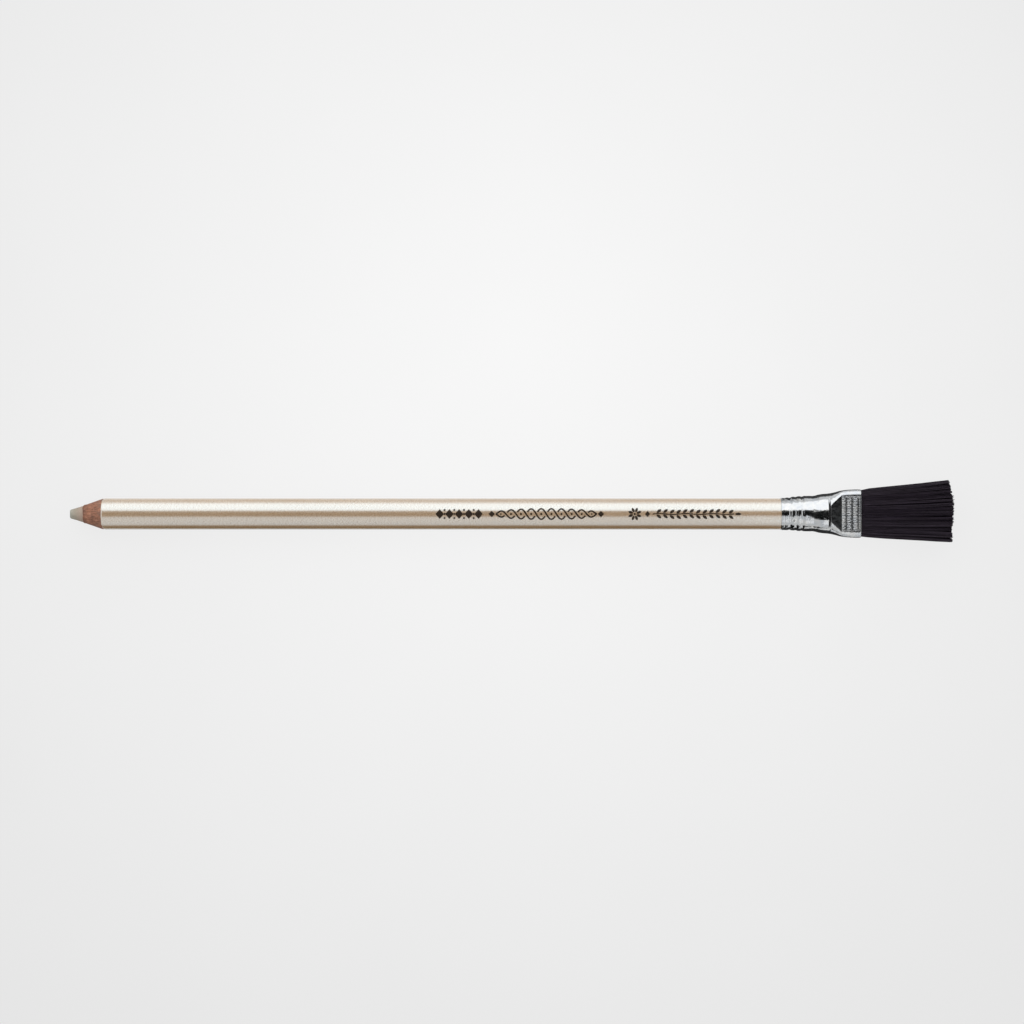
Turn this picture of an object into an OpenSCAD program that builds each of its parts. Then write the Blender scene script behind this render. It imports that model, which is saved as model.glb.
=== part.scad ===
// Eraser pencil with a brush. A rod of hard rubber runs the length of a round, lacquered cedar
// casing that is sharpened like a pencil. A formed sheet-metal ferrule is crimped on its butt
// and holds a flat brush of nylon bristles. Sizes are in millimetres.
// The pencil lies along X with its working tip at -X and the brush's broad faces level.
// The origin is under its middle, on the plane that the ferrule's widest round part touches.

/* [Barrel] */
// Length of the sharpened pencil, from its tip to its butt inside the ferrule
pencil_l = 175; // [100:0.5:180]
// Diameter over the lacquer
barrel_d = 7.3; // [6:0.1:9]
// Thickness of the lacquer
lacquer_t = 0.12; // [0.08:0.01:0.15]
// Length of the bare wood cone along the axis
wood_cone_l = 4.8; // [3:0.1:12]
// Depth of wood turned off the butt, under the lacquer, where the ferrule grips it
tenon_cut = 0.08; // [0.05:0.01:0.4]

/* [Core] */
// Diameter of the rubber core
core_d = 3.9; // [3:0.1:4.7]
// Diameter of the flat that the tip is worn to
tip_d = 2.3; // [1:0.1:2.8]
// Length of the bare rubber cone along the axis
core_cone_l = 3.1; // [1.5:0.1:6]
// Chamfer round the tip's flat
tip_chamfer = 0.15; // [0.05:0.05:0.3]
// Thickness of the glue between the slats and round the core
glue_t = 0.1; // [0.06:0.01:0.15]

/* [Ferrule socket] */
// Thickness of the ferrule's sheet
sheet_t = 0.4; // [0.25:0.05:0.45]
// Clearance between the butt and the sheet that grips it
grip_gap = 0.02; // [0.01:0.01:0.05]
// Length of butt held inside the ferrule
grip_l = 9.55; // [7.5:0.05:10.5]
// Length of the socket, from its edge to the waist groove
socket_l = 7.35; // [6.5:0.05:9]
// Growth of the socket's radius along its length
socket_flare = 0.43; // [0.25:0.01:0.6]
// Number of rings rolled into the socket
ring_count = 3; // [1:1:3]
// Distance from the socket's edge to the first ring
ring_start = 2; // [1.9:0.05:2.5]
// Distance between rings
ring_pitch = 1.43; // [1.3:0.01:1.5]
// Radius of the wheel that rolls a ring
ring_wheel_r = 0.45; // [0.3:0.05:0.5]
// Diameter of the prick that pins the ferrule to the butt
prick_d = 0.6; // [0.3:0.05:0.7]
// Depth of the prick
prick_depth = 0.14; // [0.05:0.01:0.2]
// Angle of the prick from the top of the ferrule
prick_angle = 23; // [0:1:45]

/* [Ferrule shoulder] */
// Radius of the wheel that rolls the waist groove
waist_wheel_r = 0.35; // [0.2:0.05:0.5]
// Depth of the waist groove
waist_depth = 0.1; // [0.05:0.01:0.2]
// Length of the shoulder that swells from the waist to the neck
shoulder_l = 2.95; // [2:0.05:8]
// Growth of the radius along the shoulder
shoulder_flare = 0.55; // [0.3:0.05:1.5]
// Width of the groove at the neck
neck_w = 0.45; // [0.4:0.05:0.8]
// Depth of the groove at the neck
neck_depth = 0.3; // [0.2:0.05:0.35]
// Depth of the crease that the press leaves beside the neck
crease_depth = 0.2; // [0.1:0.01:0.2]

/* [Ferrule head] */
// Length over which the round tube is pressed flat
press_l = 2.45; // [2:0.05:6]
// Length of the flat head
head_l = 4.65; // [3:0.05:10]
// Growth of the half-width from the neck to where the flat begins
head_flare = 0.55; // [0.3:0.05:1]
// Growth of the half-width from there to the mouth
mouth_flare = 0.225; // [0:0.025:1]
// Thickness of the head
head_t = 5.2; // [4.4:0.1:6]
// Radius of the head's long corners
head_corner_r = 1.4; // [1:0.1:2]

/* [Crimped band] */
// Number of grooves across the head
band_lines = 3; // [2:1:3]
// Distance between those grooves
band_pitch = 1.4; // [0.9:0.05:1.4]
// Distance from the mouth to the nearest of them
band_edge = 0.8; // [0.4:0.05:0.8]
// Width of those grooves
band_line_w = 0.4; // [0.2:0.05:0.5]
// Number of notches along each face of the head
notch_count = 10; // [4:1:10]
// Distance between the notches
notch_pitch = 0.82; // [0.6:0.02:0.82]
// Width of a notch
notch_w = 0.3; // [0.15:0.05:0.4]
// Depth of the grooves and notches
band_depth = 0.1; // [0.05:0.01:0.15]

/* [Brush] */
// Length of the longest bristles outside the ferrule
bristle_l = 21.9; // [10:0.1:30]
// Width of the brush at its end
brush_w = 14.2; // [12:0.1:18]
// Thickness of the brush at its end
brush_t = 6.2; // [5:0.1:8]
// Sideways lean of the brush at its end
brush_lean = 0.5; // [-0.5:0.05:0.5]
// Bristles across the width
bristle_cols = 27; // [26:1:32]
// Bristles across the thickness
bristle_rows = 12; // [12:1:13]
// How far cutting leaves the shortest bristles behind the longest
bristle_uneven = 0.7; // [0.2:0.1:2]
// How far the brush's outer corners fall behind its middle
bristle_arch = 0.7; // [0:0.1:2]
// Distance past the mouth at which the roots have spread to the ferrule's own width
spread_l = 1.2; // [0.5:0.1:4]
// Share of its cell that a bristle fills at the root
root_fill = 0.85; // [0.5:0.05:0.9]
// Share of its cell that a bristle fills at the end
tip_fill = 0.5; // [0.3:0.05:0.6]
// Thickness of the slice of set roots that the bristles stand on
root_t = 0.8; // [0.5:0.1:1.5]
// How far the slice sits back from the ferrule's mouth
root_recess = 0.2; // [0.1:0.05:0.5]
// Clearance between the ferrule and what is set in its head
root_gap = 0.05; // [0.02:0.01:0.1]
// Length of the resin behind the slice
resin_l = 4.8; // [3:0.1:5]

/* [Hidden] */
$fn = 96;
hull_fn = 32;
tool_fn = 8;

// Colours, as the photograph shows them
rubber_colour = [0.72, 0.69, 0.62];
cedar_colour = [0.56, 0.37, 0.28];
glue_colour = [0.80, 0.70, 0.45];
lacquer_colour = [0.82, 0.74, 0.62];
nickel_colour = [0.78, 0.79, 0.80];
resin_colour = [0.35, 0.24, 0.12];
nylon_colour = [0.10, 0.09, 0.11];

// Radii of the pencil's layers
barrel_r = barrel_d / 2;
wood_r = barrel_r - lacquer_t;
core_r = core_d / 2;
groove_r = core_r + glue_t;
tenon_r = wood_r - tenon_cut;

// Radii of the ferrule's outer face. Its inner face lies the sheet's thickness inside.
edge_r = tenon_r + grip_gap + sheet_t;
socket_r = edge_r + socket_flare;
shoulder_r = socket_r + shoulder_flare;
neck_r = shoulder_r - neck_depth;
crease_h = shoulder_r - crease_depth;
head_half_w = shoulder_r + head_flare;
mouth_half_w = head_half_w + mouth_flare;

// Places along the axis, measured from the tip
lacquer_start = core_cone_l + wood_cone_l;
ferrule_start = pencil_l - grip_l;
waist_start = ferrule_start + socket_l;
waist_at = waist_start + waist_wheel_r;
shoulder_start = waist_at + waist_wheel_r;
neck_start = shoulder_start + shoulder_l;
press_start = neck_start + neck_w;
head_start = press_start + press_l;
mouth_at = head_start + head_l;
overall_l = mouth_at + bristle_l;
prick_at = ferrule_start + ring_start + ring_pitch / 2;
shoulder_steps = 4;

// Slope of the pressed faces. An inset face meets its neighbours this much nearer the tip
// for each millimetre of inset.
press_slope = atan((crease_h - head_t / 2) / press_l);
press_shift = tan(press_slope / 2);

// The slice of set roots
root_front = mouth_at - root_recess;
root_back = root_front - root_t;
root_inset = sheet_t + root_gap;

// More than any radius here, for the reach of a cut
beyond = 10;

// A small overlap, so that a cut or a join passes clearly through a face
lap = 0.03;

// Lays the axis, drawn along +Z from the tip, along +X at the height that it rests at
module lay_down()
    translate([-overall_l / 2, 0, shoulder_r])
        rotate([0, 90, 0])
            children();

// Distance from the tip at which the sharpened wood has a radius of r
function cone_at(r) = core_cone_l + wood_cone_l * (r - core_r) / (barrel_r - core_r);

// Half section of the wooden casing, with its cone and its turned-down butt
module casing_section(inner_r)
    polygon([
        [inner_r, cone_at(inner_r)],
        [wood_r, cone_at(wood_r)],
        [wood_r, ferrule_start],
        [tenon_r, ferrule_start],
        [tenon_r, pencil_l],
        [inner_r, pencil_l]
    ]);

// All the space on one side of the glue line: side is 1 above it and -1 below
module half_space(side)
    translate([side > 0 ? -beyond - glue_t / 2 : glue_t / 2, -beyond, -beyond])
        cube([beyond, 2 * beyond, pencil_l + 2 * beyond]);

module eraser_core()
    color(rubber_colour)
        lay_down()
            rotate_extrude()
                polygon([
                    [0, 0],
                    [tip_d / 2 - tip_chamfer, 0],
                    [tip_d / 2, tip_chamfer],
                    [core_r, core_cone_l],
                    [core_r, pencil_l],
                    [0, pencil_l]
                ]);

// One half of the casing, with its half-round groove for the core
module slat(side)
    color(cedar_colour)
        lay_down()
            intersection() {
                rotate_extrude()
                    casing_section(groove_r);
                half_space(side);
            }

module upper_slat()
    slat(1);

module lower_slat()
    slat(-1);

// The set glue: a liner round the core, and a film on each side of it between the slats
module slat_glue()
    color(glue_colour)
        lay_down()
            difference() {
                rotate_extrude()
                    casing_section(core_r);
                for (side = [-1, 1])
                    difference() {
                        half_space(side);
                        translate([0, 0, -beyond])
                            cylinder(r = groove_r, h = pencil_l + 2 * beyond);
                    }
            }

module lacquer_coat()
    color(lacquer_colour)
        lay_down()
            rotate_extrude()
                polygon([
                    [wood_r, cone_at(wood_r)],
                    [barrel_r, lacquer_start],
                    [barrel_r, ferrule_start],
                    [wood_r, ferrule_start]
                ]);

// The groove that a wheel of radius wheel_r rolls down to radius bottom_r
module rolled_groove(at, bottom_r, wheel_r, inset)
    translate([bottom_r + wheel_r, at])
        circle(r = wheel_r + inset, $fn = tool_fn);

// Half section of the ferrule's round part, its face moved inwards by inset
module round_section(inset)
    difference() {
        polygon([
            [0, ferrule_start - (inset > 0 ? lap : 0)],
            [edge_r - inset, ferrule_start - (inset > 0 ? lap : 0)],
            [edge_r - inset, ferrule_start],
            [socket_r - inset, waist_start],
            for (i = [0 : shoulder_steps])
                [
                    socket_r - inset + (shoulder_r - socket_r) * sin(90 * i / shoulder_steps),
                    shoulder_start + (shoulder_l - inset) * i / shoulder_steps
                ],
            [neck_r - inset, neck_start - inset],
            [neck_r - inset, press_start - inset * press_shift + lap],
            [0, press_start - inset * press_shift + lap]
        ]);
        for (i = [0 : ring_count - 1])
            rolled_groove(ferrule_start + ring_start + i * ring_pitch, edge_r, ring_wheel_r, inset);
        rolled_groove(waist_at, socket_r - waist_depth, waist_wheel_r, inset);
    }

// A slice of the flat head, its face moved inwards by inset
module head_slice(at, half_w, inset)
    for (x = [-1, 1])
        for (y = [-1, 1])
            translate([x * (head_t / 2 - head_corner_r), y * (half_w - head_corner_r), at])
                cylinder(r = head_corner_r - inset, h = lap, $fn = hull_fn);

// The part that is pressed from round to flat
module pressed_part(inset)
    hull() {
        translate([0, 0, press_start - inset * press_shift])
            linear_extrude(lap)
                intersection() {
                    circle(r = inset > 0 ? neck_r - inset - 2 * lap : shoulder_r, $fn = hull_fn);
                    square([2 * (crease_h - inset), 2 * beyond], center = true);
                }
        head_slice(head_start - inset * press_shift, head_half_w, inset);
    }

// The flat part of the head, run on past its mouth by extra
module flat_part(inset, extra)
    hull() {
        head_slice(head_start - inset * press_shift, head_half_w, inset);
        head_slice(mouth_at + extra - lap, mouth_half_w, inset);
    }

// Grooves across each broad face and notches along it, which leave rows of small raised pads
module band_cuts()
    for (side = [-1, 1])
        translate([side * (head_t / 2 - band_depth + beyond / 2), 0, 0]) {
            for (i = [0 : band_lines - 1])
                translate([0, 0, mouth_at - band_edge - i * band_pitch])
                    cube([beyond, 2 * beyond, band_line_w], center = true);
            for (i = [0 : notch_count - 1])
                translate([0, (i - (notch_count - 1) / 2) * notch_pitch, mouth_at])
                    cube([beyond, notch_w, 2 * (band_lines * band_pitch)], center = true);
        }

// A dimple that a blunt, tapered punch with flat sides drives into the socket
module prick(angle)
    rotate([0, 0, angle]) {
        socket_at_prick = edge_r + socket_flare * (prick_at - ferrule_start) / socket_l;
        translate([-socket_at_prick + prick_depth, 0, prick_at])
            rotate([0, -90, 0])
                cylinder(r1 = prick_d / 4, r2 = prick_d, h = 3 * prick_depth, $fn = tool_fn);
    }

module ferrule()
    color(nickel_colour)
        lay_down()
            difference() {
                union() {
                    rotate_extrude()
                        round_section(0);
                    pressed_part(0);
                    flat_part(0, 0);
                }
                rotate_extrude()
                    round_section(sheet_t);
                pressed_part(sheet_t);
                flat_part(sheet_t, 1);
                band_cuts();
                for (angle = [prick_angle, prick_angle + 180])
                    prick(angle);
            }

// The resin that the roots are set in, poured into the head behind them
module root_resin()
    color(resin_colour)
        lay_down()
            intersection() {
                union() {
                    pressed_part(root_inset);
                    flat_part(root_inset, 0);
                }
                translate([-beyond, -beyond, root_back - resin_l])
                    cube([2 * beyond, 2 * beyond, resin_l]);
            }

// A repeatable number from 0 to 1 for each whole number n
function scatter(n) = let (x = 1000 * sin(77.7 * n)) x - floor(x);

// The slice clears the head at its back, where the head is narrower
root_half_w = head_half_w + mouth_flare * (root_back - head_start) / head_l - root_inset;

// Sections of the brush: place along the axis, half-width, half-thickness, lean and fill
sections = [
    [root_front, root_half_w, head_t / 2 - root_inset, 0, root_fill],
    [mouth_at + spread_l, mouth_half_w, head_t / 2 - band_depth, 0, root_fill],
    [overall_l, brush_w / 2, brush_t / 2, brush_lean, tip_fill]
];

// How far a section's corner is drawn in, so that it follows the head's rounded corner
function corner_loss(half) =
    1 - pow(1 - (1 - sqrt(0.5)) * (head_corner_r - root_inset) / half, 2);

// A point of a section: u runs from -1 to 1 across the width and v across the thickness.
// The high powers keep the faces flat up to the corners.
function section_point(s, u, v) = [
    v * s[2] * sqrt(1 - corner_loss(s[2]) * pow(u, 6)),
    s[3] + u * s[1] * sqrt(1 - corner_loss(s[1]) * pow(v, 4)),
    s[0]
];

function grid_u(i) = 2 * i / bristle_cols - 1;
function grid_v(j) = 2 * j / bristle_rows - 1;

// Bristles have three sides, and half of them, picked at random, are turned about
sides = 3;
function turned(i, j) = scatter(i + bristle_cols * j) > 0.5 ? 1 : 0;

// Corner k of the bristle in column i and row j, at section n. It stays inside its own cell
// of the section, so no two bristles meet.
function bristle_point(i, j, n, k) =
    let (
        s = sections[n],
        angle = 90 + 120 * k + 180 * turned(i, j),
        last = n == len(sections) - 1 ? 1 : 0,
        seed = i + bristle_cols * j,
        stray_u = last * (scatter(seed + 0.3) - 0.5) * (1 - s[4]),
        stray_v = last * (scatter(seed + 0.6) - 0.5) * (1 - s[4]),
        u = grid_u(i + 0.5 + 0.9 * stray_u + s[4] * cos(angle) / 2),
        v = grid_v(j + 0.5 + 0.9 * stray_v + s[4] * sin(angle) / 2),
        cut = last * (bristle_uneven * scatter(seed + 0.8) + bristle_arch * u * u)
    )
    section_point(s, u, v) - [0, 0, cut];

// Where each group of points starts in the list
function grid_index(i, j) = i + (bristle_cols + 1) * j;
bristle_index = (bristle_cols + 1) * (bristle_rows + 1);
function point_index(i, j, n, k) =
    bristle_index + (i + bristle_cols * j) * sides * len(sections) + sides * n + k % sides;
back_index = point_index(0, bristle_rows, 0, 0);

// The slice's rim, once round
rim = [
    for (i = [0 : bristle_cols - 1]) [i, 0],
    for (j = [0 : bristle_rows - 1]) [bristle_cols, j],
    for (i = [bristle_cols : -1 : 1]) [i, bristle_rows],
    for (j = [bristle_rows : -1 : 1]) [0, j]
];

tuft_points = [
    for (j = [0 : bristle_rows])
        for (i = [0 : bristle_cols])
            section_point(sections[0], grid_u(i), grid_v(j)),
    for (j = [0 : bristle_rows - 1])
        for (i = [0 : bristle_cols - 1])
            for (n = [0 : len(sections) - 1])
                for (k = [0 : sides - 1])
                    bristle_point(i, j, n, k),
    for (p = rim)
        section_point(sections[0], grid_u(p[0]), grid_v(p[1])) - [0, 0, root_t],
    [0, 0, root_back]
];

// The slice's front face inside one cell, round the foot of its bristle
function cell_faces(i, j) =
    let (
        t = 2 * turned(i, j),
        corners = [grid_index(i, j), grid_index(i + 1, j), grid_index(i + 1, j + 1), grid_index(i, j + 1)],
        c = [for (k = [0 : 3]) corners[(k + t) % 4]],
        f = [for (k = [0 : 2]) point_index(i, j, 0, k)]
    )
    [
        [c[2], c[3], f[0]],
        [c[3], c[0], f[1]],
        [c[0], c[1], f[1]],
        [c[1], c[2], f[2]],
        [c[3], f[1], f[0]],
        [c[1], f[2], f[1]],
        [c[2], f[0], f[2]]
    ];

// The sides and the cut end of one bristle
function bristle_faces(i, j) = [
    for (n = [0 : len(sections) - 2])
        for (k = [0 : sides - 1])
            each [
                [point_index(i, j, n, k), point_index(i, j, n, k + 1), point_index(i, j, n + 1, k + 1)],
                [point_index(i, j, n, k), point_index(i, j, n + 1, k + 1), point_index(i, j, n + 1, k)]
            ],
    [for (k = [0 : sides - 1]) point_index(i, j, len(sections) - 1, k)]
];

// The slice's edge and its back
function back_faces() = [
    for (p = [0 : len(rim) - 1])
        let (
            q = (p + 1) % len(rim),
            a = grid_index(rim[p][0], rim[p][1]),
            b = grid_index(rim[q][0], rim[q][1])
        )
        each [
            [b, a, back_index + p],
            [b, back_index + p, back_index + q],
            [back_index + q, back_index + p, back_index + len(rim)]
        ]
];

tuft_faces = [
    for (j = [0 : bristle_rows - 1])
        for (i = [0 : bristle_cols - 1])
            each concat(cell_faces(i, j), bristle_faces(i, j)),
    each back_faces()
];

module bristle_tuft()
    color(nylon_colour)
        lay_down()
            polyhedron(tuft_points, tuft_faces);

eraser_core();
upper_slat();
lower_slat();
slat_glue();
lacquer_coat();
ferrule();
root_resin();
bristle_tuft();
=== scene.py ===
"""Looks of the eraser pencil with a brush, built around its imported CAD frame.

Sizes are in millimetres until place() turns them into metres. A point of the pencil is given by
s, its distance from the working tip along the axis, and by y across the brush and z above the
axis. Angles round the axis are measured from the top towards +Y.
"""

import math

import bpy
import numpy as np
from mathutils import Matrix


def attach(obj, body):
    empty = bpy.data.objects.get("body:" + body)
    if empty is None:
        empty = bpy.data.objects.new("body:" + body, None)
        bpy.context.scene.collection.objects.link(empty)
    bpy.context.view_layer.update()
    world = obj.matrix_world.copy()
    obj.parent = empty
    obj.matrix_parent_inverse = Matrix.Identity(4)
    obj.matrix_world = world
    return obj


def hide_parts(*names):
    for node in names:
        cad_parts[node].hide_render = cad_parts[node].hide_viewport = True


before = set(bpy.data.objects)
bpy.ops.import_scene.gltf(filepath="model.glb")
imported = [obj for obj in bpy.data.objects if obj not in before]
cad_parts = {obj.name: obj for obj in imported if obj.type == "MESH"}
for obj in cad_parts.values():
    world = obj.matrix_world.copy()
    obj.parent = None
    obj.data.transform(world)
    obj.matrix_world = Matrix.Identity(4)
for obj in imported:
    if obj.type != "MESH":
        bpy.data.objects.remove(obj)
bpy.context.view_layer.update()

TAU = 2 * math.pi

# The pencil's main sizes. They are the CAD source's, but for the tip and the wood's cone, which
# follow the photograph more closely.
AXIS_HEIGHT = 4.85
HALF_LENGTH = 102.95
TIP_R = 1.01
CORE_R = 1.95
GROOVE_R = 2.05
WOOD_R = 3.53
TENON_R = 3.45
BARREL_R = 3.65
CORE_CONE_L = 3.1
WOOD_CONE_L = 4.85
CONE_END_S = CORE_CONE_L + WOOD_CONE_L * (WOOD_R - CORE_R) / (BARREL_R - CORE_R)
GLUE_HALF_T = 0.05
FERRULE_S = 165.45
BUTT_S = 175.0
MOUTH_S = 184.0
NECK_GROOVE_S = 176.5
BAND_S = 179.4
SHEET_T = 0.4


def place(s, y, z):
    """World points, in metres, of points given along, across and above the axis."""
    s, y, z = np.broadcast_arrays(s, y, z)
    return np.stack([s - HALF_LENGTH, y, z + AXIS_HEIGHT], axis=-1) / 1000


def turned(s, r, angle):
    """World points at radius r and an angle round the axis."""
    return place(s, r * np.sin(angle), r * np.cos(angle))


def smooth(low, high, x):
    """0 below low, 1 above high, and an easy curve between them."""
    t = np.clip((x - low) / (high - low), 0, 1)
    return t * t * (3 - 2 * t)


def curve(pairs, x):
    """A smooth curve through (x, value) pairs that never overshoots them."""
    px, py = np.array(pairs, float).T
    h = np.diff(px)
    d = np.diff(py) / h
    m = np.zeros(len(px))
    same = d[:-1] * d[1:] > 0
    w1 = 2 * h[1:] + h[:-1]
    w2 = h[1:] + 2 * h[:-1]
    m[1:-1][same] = ((w1 + w2)[same]) / (w1[same] / d[:-1][same] + w2[same] / d[1:][same])
    m[0], m[-1] = d[0], d[-1]
    x = np.clip(x, px[0], px[-1])
    i = np.clip(np.searchsorted(px, x) - 1, 0, len(h) - 1)
    t = (x - px[i]) / h[i]
    return (
        py[i] * (1 + 2 * t) * (1 - t) ** 2
        + m[i] * h[i] * t * (1 - t) ** 2
        + py[i + 1] * t * t * (3 - 2 * t)
        + m[i + 1] * h[i] * t * t * (t - 1)
    )


def ripple(seed, waves, reach, rate=0.0):
    """A smooth random function of the angle that closes on itself. It changes along s by rate."""
    rng = np.random.default_rng(seed)
    k = rng.integers(1, reach + 1, waves)
    along = rng.normal(0, 1, waves) * rate
    phase = rng.uniform(0, TAU, waves)
    size = 1 / np.sqrt(k)
    size = size / math.sqrt((size**2).sum())

    def value(angle, s=0.0):
        angle, s = np.broadcast_arrays(np.asarray(angle, float), np.asarray(s, float))
        total = np.zeros(angle.shape)
        for i in range(waves):
            total += size[i] * np.sin(k[i] * angle + along[i] * s + phase[i])
        return total

    return value


# Meshes


def signed_volume(points, faces):
    """Positive where the faces look outwards."""
    total = 0.0
    for size in sorted({len(f) for f in faces}):
        f = np.array([g for g in faces if len(g) == size])
        for k in range(1, size - 1):
            a, b, c = points[f[:, 0]], points[f[:, k]], points[f[:, k + 1]]
            total += np.einsum("ij,ij->i", a, np.cross(b, c)).sum()
    return total


def add_mesh(name, points, faces, material, sharp=40):
    """A mesh object whose faces look outwards, smooth but for edges sharper than an angle."""
    points = np.asarray(points, float).reshape(-1, 3)
    if signed_volume(points, faces) < 0:
        faces = [f[::-1] for f in faces]
    mesh = bpy.data.meshes.new(name)
    mesh.from_pydata(points.tolist(), [], faces)
    mesh.shade_smooth()
    mesh.set_sharp_from_angle(angle=math.radians(sharp))
    mesh.materials.append(material)
    obj = bpy.data.objects.new(name, mesh)
    bpy.context.scene.collection.objects.link(obj)
    return obj


def grid_faces(rows, columns, close_rows=False, first=0):
    """Quads of a grid whose rows are closed rings. close_rows joins the last ring to the first."""
    i = np.arange(rows if close_rows else rows - 1)[:, None]
    j = np.arange(columns)[None, :]
    k = (j + 1) % columns
    n = (i + 1) % rows
    quads = np.stack([i * columns + j, i * columns + k, n * columns + k, n * columns + j], axis=-1)
    return (quads.reshape(-1, 4) + first).tolist()


def solid_of_rings(rings):
    """Points and faces of a solid given by rings of points, closed by a flat face at each end."""
    rows, columns = rings.shape[:2]
    faces = grid_faces(rows, columns)
    faces.append(list(range(columns))[::-1])
    faces.append([(rows - 1) * columns + j for j in range(columns)])
    return rings.reshape(-1, 3), faces


def tube_of_rings(rings):
    """Points and faces of a tube, whose rings go along its outside and back along its inside."""
    rows, columns = rings.shape[:2]
    return rings.reshape(-1, 3), grid_faces(rows, columns, close_rows=True)


def merged(parts):
    """One list of points and one of faces from several."""
    points, faces, first = [], [], 0
    for p, f in parts:
        points.append(p)
        faces += [[i + first for i in g] for g in f]
        first += len(p)
    return np.concatenate(points), faces


# Materials


def srgb(red, green, blue):
    """A linear colour from the 0 to 255 numbers that a picture holds."""
    linear = []
    for c in (red / 255, green / 255, blue / 255):
        linear.append(c / 12.92 if c <= 0.04045 else ((c + 0.055) / 1.055) ** 2.4)
    return (*linear, 1.0)


def add_node(tree, kind, values=None, **settings):
    """A shader node. A value that is another node's socket is linked."""
    node = tree.nodes.new("ShaderNode" + kind)
    for key, value in settings.items():
        setattr(node, key, value)
    for key, value in (values or {}).items():
        if isinstance(value, bpy.types.NodeSocket):
            tree.links.new(value, node.inputs[key])
        else:
            node.inputs[key].default_value = value
    return node


def seen_rays(tree):
    """1 for rays from the camera, from gloss or through glass. 0 for rays that only bring light."""
    path = add_node(tree, "LightPath").outputs
    seen = path["Is Camera Ray"]
    for other in ("Is Glossy Ray", "Is Transmission Ray"):
        seen = add_node(tree, "Math", {0: seen, 1: path[other]}, operation="MAXIMUM").outputs[0]
    return seen


class Nodes:
    """A material's node tree, with its Principled shader and coordinates in millimetres."""

    def __init__(self, name, **values):
        self.material = bpy.data.materials.new(name)
        self.material.use_nodes = True
        self.tree = self.material.node_tree
        self.tree.nodes.clear()
        self.output = self.tree.nodes.new("ShaderNodeOutputMaterial")
        self.shader = self.add("BsdfPrincipled", values)
        self.tree.links.new(self.shader.outputs[0], self.output.inputs["Surface"])
        coordinates = self.add("TexCoord")
        scale = self.add("VectorMath", {0: coordinates.outputs["Object"]}, operation="SCALE")
        scale.inputs["Scale"].default_value = 1000
        self.mm = scale.outputs[0]

    def add(self, kind, values=None, **settings):
        return add_node(self.tree, kind, values, **settings)

    def link(self, socket, name):
        """Links a socket to one of the shader's inputs."""
        self.tree.links.new(socket, self.shader.inputs[name])

    def math(self, operation, a, b=0.0):
        return self.add("Math", {0: a, 1: b}, operation=operation).outputs[0]

    def stretched(self, along, across):
        """Coordinates scaled differently along the pencil and across it."""
        scales = (along, across, across)
        return self.add("VectorMath", {0: self.mm, 1: scales}, operation="MULTIPLY").outputs[0]

    def noise(self, where, scale, detail=3.0, roughness=0.55):
        values = {"Vector": where, "Scale": scale, "Detail": detail, "Roughness": roughness}
        return self.add("TexNoise", values).outputs[0]

    def ramp(self, value, stops):
        """Colours from (place, colour) stops, where a colour has three or four numbers."""
        node = self.add("ValToRGB", {"Fac": value})
        elements = node.color_ramp.elements
        while len(elements) < len(stops):
            elements.new(0.5)
        for element, (at, colour) in zip(elements, stops):
            element.position = at
            element.color = colour if len(colour) == 4 else (*colour, 1)
        return node.outputs["Color"]

    def mix(self, amount, a, b, blend="MIX"):
        """One colour blended with another. The numbers are the Mix node's colour sockets."""
        values = {0: amount, 6: a, 7: b}
        return self.add("Mix", values, data_type="RGBA", blend_type=blend).outputs[2]

    def times(self, *colours):
        """The product of several colours."""
        product = colours[0]
        for colour in colours[1:]:
            product = self.mix(1.0, product, colour, "MULTIPLY")
        return product

    def range(self, value, low, high, to_low, to_high):
        """The value that runs from to_low to to_high while another runs from low to high."""
        values = {"From Min": low, "From Max": high, "To Min": to_low, "To Max": to_high}
        return self.add("MapRange", {"Value": value, **values}).outputs[0]

    def along(self):
        """Distance from the tip along the axis, in millimetres."""
        x = self.add("SeparateXYZ", {0: self.mm}).outputs[0]
        return self.math("ADD", x, HALF_LENGTH)

    def above_axis(self):
        """Height above the axis, in millimetres."""
        z = self.add("SeparateXYZ", {0: self.mm}).outputs[2]
        return self.math("SUBTRACT", z, AXIS_HEIGHT)

    def bump(self, heights):
        """Bump from (height socket, distance in mm) pairs, one on top of the other."""
        below = {}
        for height, distance in heights:
            values = {"Strength": 1.0, "Distance": distance / 1000, "Height": height}
            below = {"Normal": self.add("Bump", {**values, **below}).outputs[0]}
        self.link(below["Normal"], "Normal")


def rubber_material():
    """Hard eraser rubber: matt, a little dusty, and greener towards the tip that has rubbed."""
    n = Nodes("eraser_rubber", Roughness=0.82, **{"Specular IOR Level": 0.35})
    fine = n.noise(n.mm, 7, 5)
    broad = n.noise(n.mm, 1.4, 2)
    base = n.ramp(
        n.range(n.along(), 0, 3.2, 0, 1),
        [(0, srgb(174, 173, 163)), (0.35, srgb(175, 165, 152)), (1, srgb(178, 155, 141))],
    )
    spots = n.ramp(fine, [(0.38, (0.80, 0.80, 0.78)), (0.62, (1.0, 1.0, 1.0))])
    patches = n.ramp(broad, [(0.3, (0.88, 0.90, 0.87)), (0.7, (1.0, 1.0, 1.0))])
    n.link(n.times(base, spots, patches), "Base Color")
    grit = n.noise(n.mm, 16, 4, 0.7)
    n.bump([(grit, 0.03), (fine, 0.05)])
    return n.material


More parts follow.
